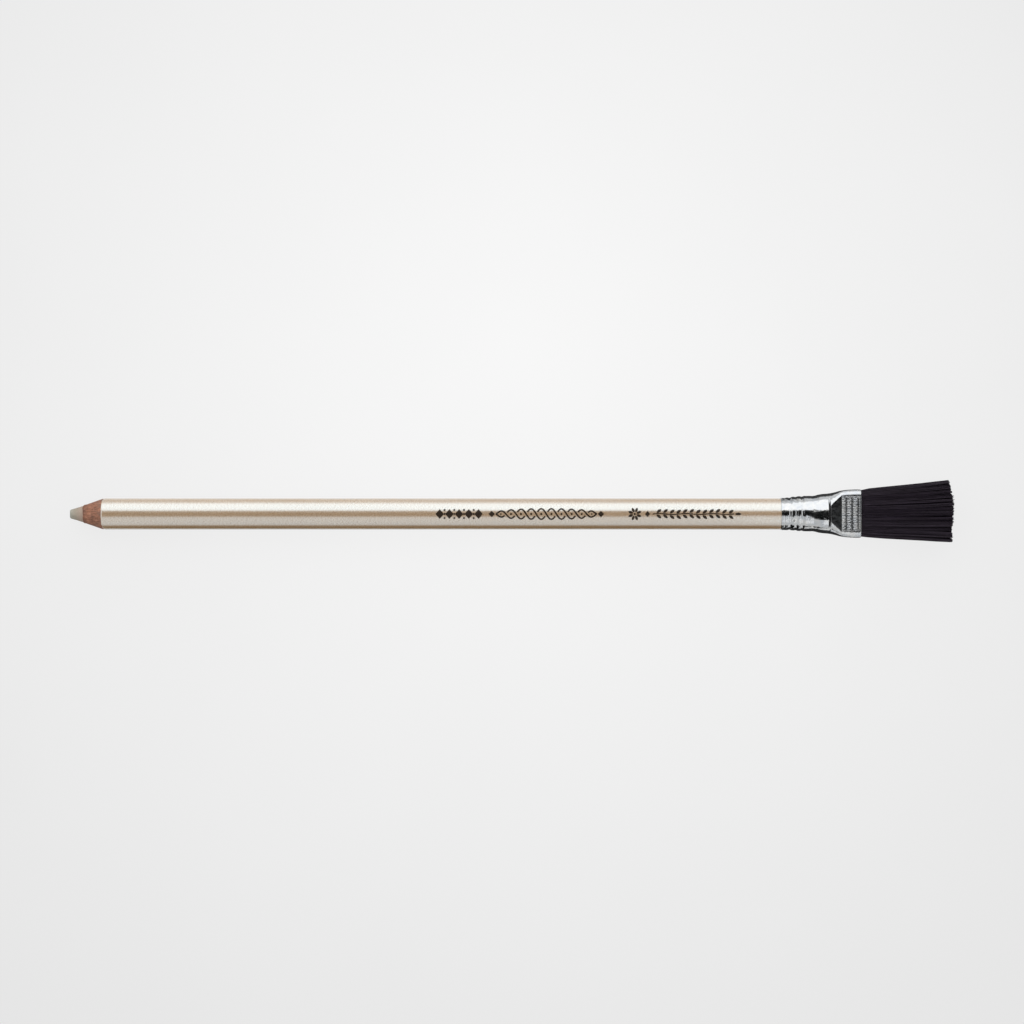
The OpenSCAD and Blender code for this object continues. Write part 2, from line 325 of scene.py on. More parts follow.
def cedar_material():
    """Reddish cedar, sharpened to a cone: long fibres, dark pores and a darker front edge."""
    n = Nodes("cedar", Roughness=0.72, **{"Specular IOR Level": 0.3})
    grain = n.noise(n.stretched(0.35, 2.6), 1.0, 5, 0.62)
    pores = n.noise(n.stretched(0.9, 9), 1.0, 3, 0.5)
    patches = n.noise(n.stretched(0.5, 0.75), 0.9, 2)
    fibres = n.ramp(
        grain,
        [
            (0.28, srgb(112, 82, 68)),
            (0.45, srgb(142, 104, 86)),
            (0.58, srgb(164, 120, 98)),
            (0.75, srgb(184, 144, 124)),
        ],
    )
    pits = n.ramp(pores, [(0.34, (0.5, 0.42, 0.4)), (0.46, (1, 1, 1))])
    tints = n.ramp(patches, [(0.3, (0.74, 0.72, 0.74)), (0.66, (1.12, 1.0, 0.92))])
    wander = n.range(n.noise(n.mm, 0.8, 3), 0.3, 0.7, -0.25, 0.25)
    # The wood is darker towards its front edge, along a wandering line.
    front = n.range(n.math("ADD", n.along(), wander), 3.1, 4.5, 0, 1)
    front_darkening = n.ramp(
        front, [(0.0, (0.74, 0.72, 0.72)), (0.35, (0.84, 0.85, 0.86)), (1, (0.98, 0.98, 0.98))]
    )
    stains = n.noise(n.stretched(0.8, 1.1), 1.0, 3)
    near_lacquer = n.range(n.along(), 5.2, 7.8, 0, 0.55)
    stained = n.math("MULTIPLY", n.range(stains, 0.46, 0.6, 0, 1), near_lacquer)
    clean = n.times(fibres, pits, tints, front_darkening)
    n.link(n.mix(stained, clean, srgb(112, 96, 86)), "Base Color")
    n.link(n.range(grain, 0.3, 0.7, 0.8, 0.62), "Roughness")
    n.bump([(grain, 0.06), (pores, 0.05)])
    return n.material


def lacquer_material():
    """Champagne pearl lacquer under a clear coat. Its flakes differ in brightness and gloss."""
    n = Nodes(
        "lacquer",
        Roughness=0.3,
        IOR=5.8,
        **{
            "Specular Tint": (0.70, 0.90, 1.0, 1.0),
            "Coat Weight": 1.0, "Coat Roughness": 0.05, "Coat IOR": 1.5,
        },
    )
    cloud = n.noise(n.stretched(0.05, 0.4), 1.0, 2)
    flakes = n.add("TexVoronoi", {"Vector": n.mm, "Scale": 16.0}, feature="F1")
    flake = n.add("SeparateColor", {0: flakes.outputs["Color"]}).outputs[0]
    base = n.ramp(cloud, [(0.3, srgb(211, 164, 107)), (0.7, srgb(219, 172, 115))])
    speckle = n.ramp(flake, [(0.0, (0.90, 0.89, 0.87)), (1.0, (1.06, 1.06, 1.06))])
    n.link(n.times(base, speckle), "Base Color")
    n.link(n.range(flake, 0, 1, 0.25, 0.34), "Roughness")
    peel = n.noise(n.mm, 1.1, 2)
    n.bump([(peel, 0.006)])
    return n.material


def print_material():
    """Dark brown transfer print."""
    n = Nodes("print", Roughness=0.38, **{"Specular IOR Level": 0.3})
    wear = n.noise(n.mm, 5, 4)
    n.link(n.ramp(wear, [(0.3, srgb(34, 25, 17)), (0.7, srgb(56, 43, 31))]), "Base Color")
    n.link(n.range(wear, 0.3, 0.7, 0.3, 0.5), "Roughness")
    return n.material


def nickel_material():
    """Bright nickel plate with draw marks, smears and dents, dull on the band, with painted shade
    in the neck groove.
    """
    n = Nodes("nickel", Metallic=1.0, Roughness=0.12)
    smear = n.noise(n.mm, 0.55, 4)
    fine = n.noise(n.stretched(0.9, 5), 1.0, 4, 0.6)
    plate = n.ramp(smear, [(0.3, srgb(190, 195, 201)), (0.7, srgb(212, 212, 210))])
    along = n.along()
    # Painted shade: the neck groove is darkened to near black on its top and bottom, where its
    # shade falls.
    from_groove = n.math("ABSOLUTE", n.math("SUBTRACT", along, NECK_GROOVE_S))
    from_axis = n.math("ABSOLUTE", n.above_axis())
    in_groove = n.range(from_groove, 0.16, 0.34, 1, 0)
    groove_painted_shade = n.math("MULTIPLY", in_groove, n.range(from_axis, 3.6, 3.95, 0, 1))
    n.link(n.mix(groove_painted_shade, plate, (0.03, 0.03, 0.03, 1)), "Base Color")
    on_band = n.range(along, BAND_S - 0.1, BAND_S + 0.2, 0, 0.14)
    n.link(n.math("ADD", n.range(smear, 0.3, 0.7, 0.09, 0.17), on_band), "Roughness")
    dents = n.noise(n.mm, 0.9, 3)
    n.bump([(dents, 0.06), (fine, 0.004)])
    return n.material


def nylon_material():
    """Black nylon filament with a soft violet-grey sheen, uneven from one filament to the next."""
    n = Nodes(
        "nylon", Roughness=0.42,
        **{"Specular IOR Level": 0.26, "Specular Tint": (1.0, 0.84, 1.0, 1.0)},
    )
    strand = n.noise(n.stretched(0.05, 4.5), 1.0, 2)
    shades = [(0.3, srgb(17, 13, 19)), (0.55, srgb(29, 24, 32)), (0.75, srgb(45, 38, 49))]
    n.link(n.ramp(strand, shades), "Base Color")
    n.link(n.range(strand, 0.3, 0.7, 0.5, 0.34), "Roughness")
    return n.material


def resin_material():
    """Set resin, dark with the stain of the bristles."""
    n = Nodes("resin", Roughness=0.35)
    stain = n.noise(n.mm, 1.2, 3)
    n.link(n.ramp(stain, [(0.3, srgb(26, 20, 16)), (0.7, srgb(58, 42, 28))]), "Base Color")
    n.bump([(stain, 0.05)])
    return n.material


def glue_material():
    """Set wood glue, stained by the cedar."""
    n = Nodes("glue", Roughness=0.5)
    stain = n.noise(n.stretched(0.3, 3), 1.0, 3)
    n.link(n.ramp(stain, [(0.3, srgb(96, 66, 46)), (0.7, srgb(136, 98, 70))]), "Base Color")
    n.bump([(stain, 0.02)])
    return n.material


RUBBER = rubber_material()
CEDAR = cedar_material()
LACQUER = lacquer_material()
PRINT = print_material()
NICKEL = nickel_material()
NYLON = nylon_material()
RESIN = resin_material()
GLUE = glue_material()


# The sharpened end and the barrel


def cone_r(s):
    """Radius of the sharpened wood at a distance from the tip."""
    return CORE_R + (BARREL_R - CORE_R) * (s - CORE_CONE_L) / WOOD_CONE_L


def eraser_rod():
    """The rubber core: a worn, slightly uneven tip and a cone with the knife's shallow flats."""
    angle = np.linspace(0, TAU, 128, endpoint=False)
    dents, dent_depth = ripple(11, 12, 9, 0.9), 0.016
    flats, flat_depth = ripple(12, 8, 6, 0.25), 0.022
    face_depth, rim_s, glued_r = 0.022, 0.15, 1.948
    stations = [
        (0.12, 0.30), (0.12, 0.60), (0.12, 0.80), (0.125, 0.91), (0.14, 0.965), (0.17, 1.0),
        (0.22, 1.025),
    ]
    for s in np.arange(0.26, 3.3, 0.07):
        stations.append((s, TIP_R + (CORE_R - TIP_R) * (s - rim_s) / (CORE_CONE_L - rim_s)))
    stations += [(3.4, 1.945), (3.6, glued_r), (BUTT_S, glued_r)]
    rings = []
    for s, r in stations:
        off_middle = smooth(0.25, 1.15, r)
        bare = 1 - smooth(3.0, 3.4, s)
        relief = dent_depth * dents(angle, s * 3) + flat_depth * flats(angle, s)
        on_face = 1 - smooth(0.1, 0.6, s)
        face_s = s + bare * face_depth * dents(angle, r * 4) * on_face
        rings.append(turned(face_s, r + bare * off_middle * relief, angle))
    return add_mesh("eraser_rod", *solid_of_rings(np.array(rings)), RUBBER, 50)


def cedar_half(name, side):
    """One slat: a half tube with its glue face, its groove and its share of the cone."""
    columns = 120
    angle = np.linspace(-math.pi / 2, math.pi / 2, columns)
    whole_angle = angle if side > 0 else math.pi - angle
    fibres, fibre_depth = ripple(22, 30, 90, 0.35), 0.011
    cuts, cut_depth = ripple(23, 14, 4, 14.0), 0.007
    front = 3.32 + 0.09 * ripple(21, 9, 7)(whole_angle) + 0.03 * ripple(24, 10, 14)(whole_angle)
    rim_height, rim_l, thinnest = 0.10, 0.30, 0.03
    rings = []

    def add_ring(s, r):
        """A ring that runs over the slat's outside and back along its groove."""
        s = np.broadcast_to(s, angle.shape)
        outer_z = np.maximum(r * np.cos(angle), GLUE_HALF_T)
        inner_z = np.maximum(GROOVE_R * np.cos(angle), GLUE_HALF_T)
        ring_s = np.concatenate([s, s[::-1]])
        ring_y = np.concatenate([r * np.sin(angle), (GROOVE_R * np.sin(angle))[::-1]])
        ring_z = np.concatenate([outer_z, inner_z[::-1]])
        rings.append(place(ring_s, ring_y, side * ring_z))

    def skin_r(s):
        """Radius of the cone's cut surface, with its raised front rim and the knife's marks."""
        rise = rim_height * np.exp(-((s - front) / rim_l) ** 2)
        marks = fibre_depth * fibres(whole_angle, s) + cut_depth * cuts(whole_angle, s)
        return cone_r(s) + (rise + marks) * smooth(0, 0.5, CONE_END_S - s)

    add_ring(front - 0.02, GROOVE_R + 0.02)
    add_ring(front - 0.03, GROOVE_R + 0.5 * np.maximum(skin_r(front) - GROOVE_R, thinnest))
    for t in np.linspace(0, 1, 72) ** 1.15:
        s = front + (CONE_END_S - front) * t
        add_ring(s, np.maximum(skin_r(s), GROOVE_R + thinnest))
    for s in (CONE_END_S + 0.25, CONE_END_S + 0.5, 40, FERRULE_S):
        add_ring(s, WOOD_R)
    for s in (FERRULE_S, BUTT_S):
        add_ring(s, TENON_R)
    rings = np.array(rings)
    rows, count = rings.shape[:2]
    faces = grid_faces(rows, count)
    for first in (0, (rows - 1) * count):
        for j in range(columns - 1):
            quad = [first + j, first + j + 1, first + count - 2 - j, first + count - 1 - j]
            faces.append(quad if first else quad[::-1])
    return add_mesh(name, rings.reshape(-1, 3), faces, CEDAR, 45)


def glue_seams():
    """The liner round the core and the two films between the slats, just below the surface."""
    angle = np.linspace(0, TAU, 96, endpoint=False)
    below = 0.02
    start, end = 3.46, BUTT_S - below
    corners = ((start, CORE_R), (start, GROOVE_R), (end, GROOVE_R), (end, CORE_R))
    parts = [tube_of_rings(np.array([turned(s, r, angle) for s, r in corners]))]
    film_edge = [
        (3.58, GROOVE_R + below), (7.5, 3.45), (7.8, WOOD_R - below),
        (FERRULE_S - 0.01, WOOD_R - below), (end, TENON_R - below),
    ]
    for side in (-1, 1):
        rings = []
        for s, reach in film_edge:
            y = side * np.array([GROOVE_R - below, reach, reach, GROOVE_R - below])
            z = np.array([GLUE_HALF_T, GLUE_HALF_T, -GLUE_HALF_T, -GLUE_HALF_T])
            rings.append(place(s, y, z)[::side])
        parts.append(solid_of_rings(np.array(rings)))
    return add_mesh("glue_seams", *merged(parts), GLUE, 30)


def lacquer_skin():
    """The lacquer: a long tube whose front edge the sharpener has left a little wavy."""
    angle = np.linspace(0, TAU, 256, endpoint=False)
    edge = 0.05 * ripple(31, 7, 6)(angle) + 0.02 * ripple(32, 9, 24)(angle)
    edge += 0.36 * np.abs(np.sin(angle)) ** 5
    profile = [
        (7.60, WOOD_R), (7.67, 3.566), (7.76, 3.606), (7.84, 3.634), (7.92, 3.6465),
        (8.02, BARREL_R),
    ]
    rounding, end_s = 0.02, FERRULE_S - 0.005
    rings = [turned(s + edge, r, angle) for s, r in profile]
    for s in [8.2, 8.6, *np.linspace(10, FERRULE_S - 0.6, 60), FERRULE_S - rounding]:
        rings.append(turned(s + edge * (1 - smooth(8.0, 9.8, s)), BARREL_R, angle))
    rings += [turned(end_s, r, angle) for r in (BARREL_R - rounding, WOOD_R)]
    return add_mesh("lacquer_skin", *tube_of_rings(np.array(rings)), LACQUER, 50)


# The ornament printed along the top of the barrel. It stands in for the maker's lettering.

INK_TOP = BARREL_R + 0.010
INK_BOTTOM = BARREL_R - 0.010
CHAIN_S, CHAIN_PITCH, CHAIN_LINKS = 86.2, 2.25, 5
BRAID_START, BRAID_END, BRAID_TURNS = 99.2, 122.6, 5
ROSETTE_S, ROSETTE_R, PETALS = 131.4, 1.0, 8
STEM_START, STEM_END, LEAF_PAIRS = 135.6, 154.4, 12


def inked(s, across, r):
    """World points on the barrel, from a flat drawing laid round it."""
    return turned(s, r, across / BARREL_R)


def stroke(path, width):
    """A printed line along a path of (s, across) points."""
    way = np.gradient(path, axis=0)
    way /= np.linalg.norm(way, axis=1)[:, None]
    sides = np.stack([-way[:, 1], way[:, 0]], axis=1)
    steps = np.linspace(-0.5, 0.5, 4) * width
    rings = []
    for middle, side in zip(path, sides):
        points = middle + steps[:, None] * side
        top = inked(points[:, 0], points[:, 1], INK_TOP)
        bottom = inked(points[::-1, 0], points[::-1, 1], INK_BOTTOM)
        rings.append(np.concatenate([top, bottom]))
    return solid_of_rings(np.array(rings))


def spot(s, across, outline, layers=4):
    """A printed shape from its outline round (s, across), in rings that shrink to its middle."""
    rings = []
    for r in (INK_BOTTOM, INK_TOP):
        for share in np.linspace(1, 0.06, layers):
            points = outline * share
            rings.append(inked(s + points[:, 0], across + points[:, 1], r))
    return solid_of_rings(np.array(rings))


def disc(r):
    """The outline of a dot."""
    t = np.linspace(0, TAU, 24, endpoint=False)
    return np.stack([r * np.cos(t), r * np.sin(t)], axis=1)


def star(long, tall):
    """The outline of a diamond. long and tall are its half diagonals."""
    t = np.linspace(0, TAU, 32, endpoint=False)
    c, s = np.cos(t), np.sin(t)
    return np.stack([long * np.sign(c) * c**2, tall * np.sign(s) * s**2], axis=1)


def leaf(length, width, turn):
    """The outline of a pointed leaf, turned by an angle from the line of the barrel."""
    t = np.linspace(0, TAU, 28, endpoint=False)
    x = 0.5 * length * np.cos(t)
    y = 0.5 * width * np.sin(t) * (1 - 0.55 * np.abs(np.cos(t)) ** 3)
    c, s = math.cos(turn), math.sin(turn)
    return np.stack([c * x - s * y, s * x + c * y], axis=1)


def ornament_chain():
    """Diamonds with three dots between each two."""
    parts = []
    for k in range(CHAIN_LINKS):
        s = CHAIN_S + CHAIN_PITCH * k
        parts.append(spot(s, 0, star(0.98, 1.15), 6))
        if k < CHAIN_LINKS - 1:
            for across, r in ((-0.95, 0.24), (0.95, 0.24), (0, 0.25)):
                parts.append(spot(s + CHAIN_PITCH / 2, across, disc(r)))
    return add_mesh("ornament_chain", *merged(parts), PRINT, 35)


def ornament_braid():
    """Two strands that pass over and under each other, with a dot in each eye."""
    start, end, eyes = BRAID_START, BRAID_END, 2 * BRAID_TURNS
    length = (end - start) / BRAID_TURNS
    width, gap, reach, step = 0.38, 0.30, 1.25, 0.09
    parts = []

    def swing(s):
        """Half the braid's width, which narrows at both ends."""
        t = (s - start) / (end - start)
        return reach * np.clip(4 * t * (1 - t), 0, 1) ** 0.35

    for strand, first_under in ((1, 2), (-1, 1)):
        under = [start + length * k / 2 for k in range(first_under, eyes, 2)]
        stops = [start] + [e for u in under for e in (u - gap, u + gap)] + [end]
        for a, b in zip(stops[::2], stops[1::2]):
            s = np.linspace(a, b, max(8, int((b - a) / step)))
            across = strand * swing(s) * np.sin(TAU * (s - start) / length)
            parts.append(stroke(np.stack([s, across], axis=1), width))
    for k in range(eyes):
        dot = disc(0.25 if 0 < k < eyes - 1 else 0.18)
        parts.append(spot(start + length * (k + 0.5) / 2, 0, dot))
    for s in (start - 0.95, end + 0.95):
        parts.append(spot(s, 0, star(0.75, 0.75), 5))
    return add_mesh("ornament_braid", *merged(parts), PRINT, 35)


def ornament_garland():
    """A rosette, then a stem with pairs of leaves that ends in a bud."""
    parts = []
    for k in range(PETALS):
        turn = TAU * (k + 0.5) / PETALS
        s = ROSETTE_S + ROSETTE_R * math.cos(turn)
        parts.append(spot(s, ROSETTE_R * math.sin(turn), leaf(1.2, 0.62, turn), 5))
    parts.append(spot(ROSETTE_S, 0, disc(0.26)))
    parts.append(spot(ROSETTE_S + 2.95, 0, star(0.62, 0.72), 5))

    def stem(s):
        """How far the stem swings to the side."""
        return 0.10 * np.sin(TAU * (s - STEM_START) / 6.2)

    s = np.linspace(STEM_START, STEM_END, 160)
    parts.append(stroke(np.stack([s, stem(s)], axis=1), 0.25))
    first, pitch, reach = STEM_START + 0.75, 1.52, 0.76
    for k in range(LEAF_PAIRS):
        at = first + pitch * k
        for side in (-1, 1):
            turn = side * math.radians(38)
            across = stem(at) + side * 0.17 + reach * math.sin(turn)
            parts.append(
                spot(at + 0.05 + reach * math.cos(turn), across, leaf(1.36, 0.66, turn), 5)
            )
    parts.append(spot(STEM_END + 0.95, 0, leaf(1.5, 0.62, 0), 5))
    return add_mesh("ornament_garland", *merged(parts), PRINT, 35)


# The ferrule. ROUND_R is the radius of its round part and HEAD_HALF_W half the head's width, both
# along the axis. The round part turns into the flat head between NECK_S and HEAD_S.

ROUND_R = [
    (165.45, 3.74), (165.8, 3.75), (166.2, 3.765), (166.75, 3.80), (167.7, 3.87), (168.6, 3.98),
    (169.55, 4.06), (170.5, 4.11), (171.4, 4.14), (172.3, 4.15), (172.9, 4.16), (173.5, 4.22),
    (174.2, 4.41), (175.1, 4.56), (176.1, 4.64), (176.8, 4.70), (177.3, 4.76),
]
HEAD_HALF_W = [
    (177.0, 4.73), (177.5, 4.83), (178.4, 5.03), (179.3, 5.27), (180.26, 5.44), (181.2, 5.54),
    (183.0, 5.61), (184.0, 5.58),
]
NECK_S = 176.75
HEAD_S = 179.55
# What the round part's height above the axis has over its radius, and how far the ferrule has been
# crimped on off the axis
TALLER = 0.13
DRIFT = 0.1
# The flat head, drawn with one width that HEAD_HALF_W then corrects, and the facets' height above
# the axis where they start, just before the neck
HEAD_HALF_T = 2.6
HEAD_DRAWN_HALF_W = 5.4
CORNER_R = 1.4
CREASE_H = 4.32
FACET_LEAD = 0.3
# Rolled grooves: place, depth and half width of the three rings, the waist and the edge's line
ROLLS = [
    (167.53, 0.13, 0.52), (168.96, 0.13, 0.52), (170.37, 0.13, 0.52), (172.85, 0.035, 0.5),
    (166.25, 0.035, 0.13),
]
NECK_DEPTH, NECK_HALF_W = 0.30, 0.24
SOCKET_END_S = 173.0
# Prick marks: place, depth and radius. They stand in a row on the top's -Y flank and the bottom's
# +Y one.
PRICKS = [(168.27, 0.17, 0.27), (167.1, 0.05, 0.24), (169.88, 0.05, 0.26)]
PRICK_ANGLE = math.radians(23)
SKEW_DEPTH = 0.30
# The crimped band: grooves along the axis every PAD_ROW_PITCH, and grooves across at PAD_LINES
PAD_ROW_PITCH = 0.82
PAD_LINES = (180.42, 181.80, 183.20)
PAD_LINE_HALF_W = 0.5
PAD_DEPTH = 0.09
# Where the socket's edge and the mouth's lip start to round in, and how far they do
EDGE_S, EDGE_DEPTH = 165.54, 0.03
LIP_S, LIP_DEPTH = 183.9, 0.05


def quarter_outline(s, inset):
    """The ferrule's section from its top to its side, as a fine line of (y, z) points."""
    radius = float(curve(ROUND_R, np.array(s))) - inset
    t = float(np.clip((s - NECK_S) / (HEAD_S - NECK_S), 0, 1))
    tall = 1 + TALLER * (1 - t) / radius
    if s <= NECK_S - FACET_LEAD:
        angle = np.linspace(0, math.pi / 2, 240)
        return np.stack([radius * np.sin(angle), tall * radius * np.cos(angle)], axis=1)
    blend = float(smooth(NECK_S - FACET_LEAD, NECK_S, s))
    facet_h = (CREASE_H - inset) * blend + radius * (1 - blend)
    facet_h = min(facet_h, radius * 0.99999)
    facet_half_w = math.sqrt(radius**2 - facet_h**2)
    corner = CORNER_R - inset
    centre = np.array([HEAD_DRAWN_HALF_W - CORNER_R, HEAD_HALF_T - CORNER_R])
    flat = np.linspace(0, 1, 80)[:-1]
    turn = np.linspace(0, math.pi / 2, 160)
    side = np.linspace(1, 0, 40)[1:]
    past_facet = np.maximum(turn, math.atan2(facet_half_w, facet_h))
    round_line = np.concatenate([
        np.stack([flat * facet_half_w, np.full_like(flat, facet_h)], axis=1),
        radius * np.stack([np.sin(past_facet), np.cos(past_facet)], axis=1),
        np.stack([np.full_like(side, radius), 0 * side], axis=1),
    ])
    head_line = np.concatenate([
        np.stack([flat * centre[0], np.full_like(flat, HEAD_HALF_T - inset)], axis=1),
        centre + corner * np.stack([np.sin(turn), np.cos(turn)], axis=1),
        np.stack([np.full_like(side, centre[0] + corner), side * centre[1]], axis=1),
    ])
    line = (1 - t) * round_line + t * head_line
    half_w = float(curve(HEAD_HALF_W, np.array(s))) - inset
    widened = smooth(NECK_S - 0.2, NECK_S + 0.1, s)
    line[:, 0] *= 1 + widened * (half_w / line[-1, 0] - 1)
    line[:, 1] *= tall
    return line


def section(s, inset, quarter_columns):
    """A whole ring of the ferrule: (y, z) points and their outward normals."""
    line = quarter_outline(s, inset)
    step = np.linalg.norm(np.diff(line, axis=0), axis=1)
    length = np.concatenate([[0], np.cumsum(step)])
    want = np.linspace(0, length[-1], quarter_columns + 1)
    y = np.interp(want, length, line[:, 0])
    z = np.interp(want, length, line[:, 1])
    ys = np.concatenate([y[:-1], y[::-1][:-1], -y[:-1], -y[::-1][:-1]])
    zs = np.concatenate([z[:-1], -z[::-1][:-1], -z[:-1], z[::-1][:-1]])
    points = np.stack([ys, zs], axis=1)
    way = np.roll(points, -1, axis=0) - np.roll(points, 1, axis=0)
    way /= np.linalg.norm(way, axis=1)[:, None]
    normals = np.stack([-way[:, 1], way[:, 0]], axis=1)
    normals *= np.sign((normals * points).sum(1))[:, None]
    return points, normals


def pad_relief(s, y, z):
    """Depth of the crimped band's grooves at each point: 1 in a groove and 0 on a pad."""
    across = 0.5 - 0.5 * np.cos(TAU * y / PAD_ROW_PITCH)
    distance = min(abs(s - line) for line in PAD_LINES)
    along = 1 - float(smooth(0.0, PAD_LINE_HALF_W, distance))
    depth = 1 - (1 - 0.8 * across) * (1 - along)
    on_face = 1 - smooth(3.4, 4.4, np.abs(y))
    past_start = float(smooth(BAND_S - 0.2, BAND_S + 0.1, s))
    before_end = 1 - float(smooth(MOUTH_S - 0.35, MOUTH_S - 0.15, s))
    return depth * on_face * (past_start * before_end) * (np.abs(z) > 1.2)


def drift(s):
    """How far the ferrule has been crimped on off the pencil's axis."""
    return DRIFT * float(smooth(165.6, 168.5, s))


def flattened(angle):
    """The press's skew of the top and bottom: above 0 on the flank pressed in, else below 0."""
    a = (angle + math.pi / 2) % math.pi - math.pi / 2
    t = np.clip((a + 0.32) / 0.51, 0, 1)
    pressed = (1 - (1 - t) ** 2) * (1 - smooth(0.5, 1.3, a))
    swollen = 0.86 * (1 - smooth(0.7, 1.35, np.abs(a)))
    return pressed - swollen


def rolled(s, at, half_w):
    """1 at the middle of a rolled groove, easing to 0 at half its width on each side."""
    return 0.5 + 0.5 * math.cos(math.pi * np.clip((s - at) / half_w, -1, 1))


def sheet_relief(s, points):
    """How far the sheet's outside is pushed in at each point of a ring."""
    angle = np.arctan2(points[:, 0], points[:, 1])
    r = np.hypot(points[:, 0], points[:, 1])
    depth = np.zeros(len(points))
    for at, deep, half_w in ROLLS:
        depth += deep * rolled(s, at, half_w)
    on_face = smooth(0.60, 0.92, np.abs(np.cos(angle)))
    depth += NECK_DEPTH * rolled(s, NECK_GROOVE_S, NECK_HALF_W) * on_face
    on_shoulder = float(smooth(169.5, 175.5, s) * (1 - smooth(176.5, 177.0, s)))
    depth += SKEW_DEPTH * on_shoulder * flattened(angle)
    for at, deep, wide in PRICKS:
        for turn in (-PRICK_ANGLE, math.pi - PRICK_ANGLE):
            gap = (angle - turn + math.pi) % TAU - math.pi
            depth += deep * np.exp(-((np.hypot(gap * r, s - at) / wide) ** 2))
    depth += PAD_DEPTH * pad_relief(s, points[:, 0], points[:, 1])
    depth += EDGE_DEPTH * (1 - float(smooth(FERRULE_S, EDGE_S, s)))
    depth += LIP_DEPTH * float(smooth(LIP_S, MOUTH_S, s)) ** 2
    return depth


def ferrule_shell():
    """Formed sheet: rings, waist, swelling shoulder, pressed facets and a crimped band."""
    quarter = 96
    spans = [
        (165.62, 166.5, 0.08), (166.5, 172.6, 0.115), (172.6, 173.8, 0.09), (173.8, 176.1, 0.15),
        (176.1, 177.2, 0.045), (177.2, 179.2, 0.13), (179.2, LIP_S, 0.075),
    ]
    outer = np.concatenate([
        [FERRULE_S, 165.462, 165.49, EDGE_S], *(np.arange(*span) for span in spans),
        [LIP_S, 183.95, 183.985, MOUTH_S],
    ])
    inner = np.concatenate([
        [MOUTH_S, LIP_S], np.arange(183.5, 179.6, -0.5), np.arange(179.4, 177.0, -0.3),
        [176.9, 176.5, 176.0, 175.2, 174.4, 173.6, 173.1, 172.6], np.arange(171.8, 166.2, -0.4),
        [165.9, FERRULE_S],
    ])
    rings = []
    for s in map(float, outer):
        points, normals = section(s, 0.0, quarter)
        points = points - normals * sheet_relief(s, points)[:, None]
        rings.append(place(s, points[:, 0] + drift(s), points[:, 1]))
    # The rings press the socket's inside in as well, but not into the wood
    ring_dent, clear_of_wood, edge_end_s = 0.12, TENON_R + 0.02, 166.4
    for s in map(float, inner):
        points, _ = section(s, SHEET_T, quarter)
        if s < SOCKET_END_S:
            r = np.hypot(points[:, 0], points[:, 1])
            pressed_r = np.maximum(r - ring_dent * (s > edge_end_s), clear_of_wood)
            points = points * (pressed_r / r)[:, None]
        rings.append(place(s, points[:, 0] + drift(s), points[:, 1]))
    return add_mesh("ferrule_shell", *tube_of_rings(np.array(rings)), NICKEL, 60)


# The brush: its top and bottom edges in the photograph's view and half its thickness, all along
# the axis, then where its cut end lies across its width.

TUFT_TOP = [
    (182.9, 5.00), (184.0, 5.42), (184.9, 5.75), (188.7, 6.16), (193.3, 6.58), (198.0, 7.05),
    (202.6, 7.62), (206.0, 8.0),
]
TUFT_BOTTOM = [
    (182.9, -5.00), (184.0, -5.18), (184.9, -5.28), (188.7, -5.58), (193.3, -5.80), (198.0, -6.05),
    (202.6, -6.36), (206.0, -6.52),
]
TUFT_HALF_T = [(182.9, 2.06), (184.0, 2.15), (185.2, 2.38), (190.0, 2.66), (206.0, 3.08)]
TUFT_END = [
    (-1.0, 205.35), (-0.65, 205.1), (-0.2, 205.4), (0.15, 205.5), (0.35, 205.35), (0.62, 205.0),
    (1.0, 204.45),
]
# How many bristles, in how many pieces and clumps
BRISTLES = 2400
BRISTLE_SHARES = 3
CLUMPS = 190
# Distance between the rows of bristles, where 1 is the distance within a row
ROW_STEP = 0.866
# The tuft's width over its thickness, then the bristles' start, radius and range of ends
TUFT_ASPECT = 11.0 / 4.4
BRISTLE_START = 183.3
BRISTLE_R = (0.060, 0.078)
CUT_RANGE = (203.4, 205.88)


def bristle_spots(rng):
    """Where the bristles stand: (u, v) across the tuft's width and thickness, from -1 to 1."""
    spacing = math.sqrt(4 * 0.97 / (ROW_STEP * BRISTLES))
    du, dv = spacing / math.sqrt(TUFT_ASPECT), spacing * math.sqrt(TUFT_ASPECT) * ROW_STEP
    spots = []
    for j, v in enumerate(np.arange(-1 + dv / 2, 1, dv)):
        for u in np.arange(-1 + du * (0.25 + 0.5 * (j % 2)), 1, du):
            spots.append((u, v))
    spots = np.array(spots)
    spots += rng.uniform(-0.28, 0.28, spots.shape) * [du, dv]
    spots = np.clip(spots, -1, 1)
    corner = (np.abs(spots[:, 0]) ** 8 + np.abs(spots[:, 1]) ** 4) > 1.35
    return spots[~corner]


